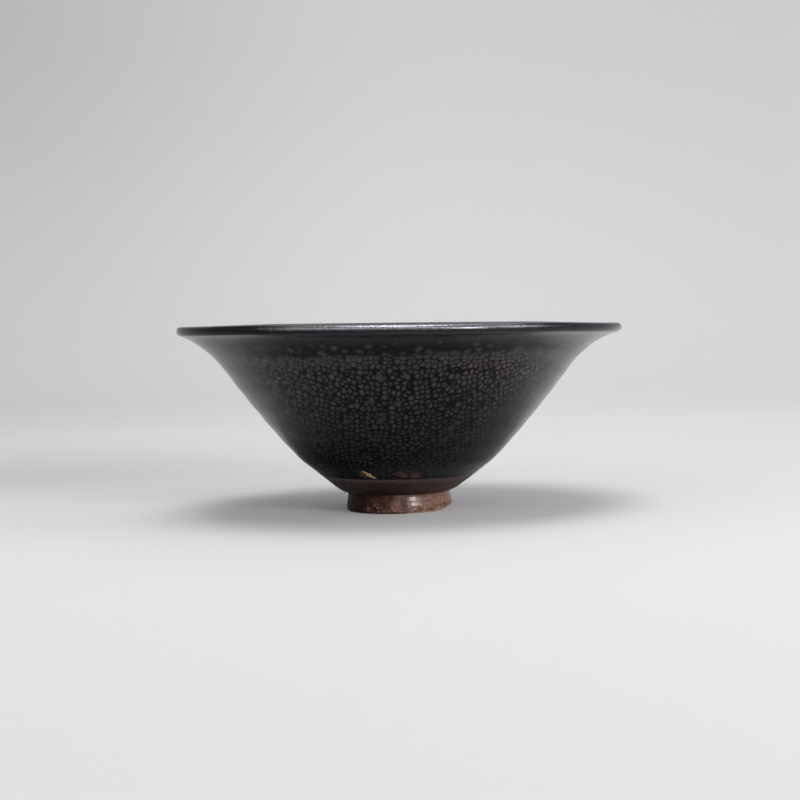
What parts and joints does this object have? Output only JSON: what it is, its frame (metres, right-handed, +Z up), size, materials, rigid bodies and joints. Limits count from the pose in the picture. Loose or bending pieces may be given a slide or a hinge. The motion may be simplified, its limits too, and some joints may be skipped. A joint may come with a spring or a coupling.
{
  "type": "tea bowl",
  "caption": "Hat-shaped stoneware tea bowl with a flared lip, black oil-spot glaze inside and out, and a small turned foot ring.",
  "frame": {"origin": "centre of the box at the foot's resting plane, straight under the middle of the lip", "axes": "+Z up out of the mouth, -Y the side seen in the picture, +X the side that the bowl leans to"},
  "size_m": [0.13, 0.13, 0.0554],
  "materials": {
    "stoneware": "bare fired clay, matte, buff",
    "oil_spot_glaze": "glossy black with small dark grey-brown oil spots",
    "inner_oil_spot_glaze": "glossy black with small grey oil spots, clear black where it pools",
    "lip_glaze": "glossy, thin, breaking to brown on the edge with fine silvery specks",
    "iron_wash": "dark brown iron wash, nearly matte",
    "foot_wash": "mottled red-brown iron wash with a soft gloss, worn to tan clay in specks"
  },
  "bodies": {
    "root": {"clay_body": "stoneware", "foot_ring": "stoneware", "outer_glaze": "oil_spot_glaze", "inner_glaze": "inner_oil_spot_glaze", "lip_glaze": "lip_glaze", "underside_wash": "iron_wash", "foot_wash": "foot_wash"}
  },
  "joints": []
}
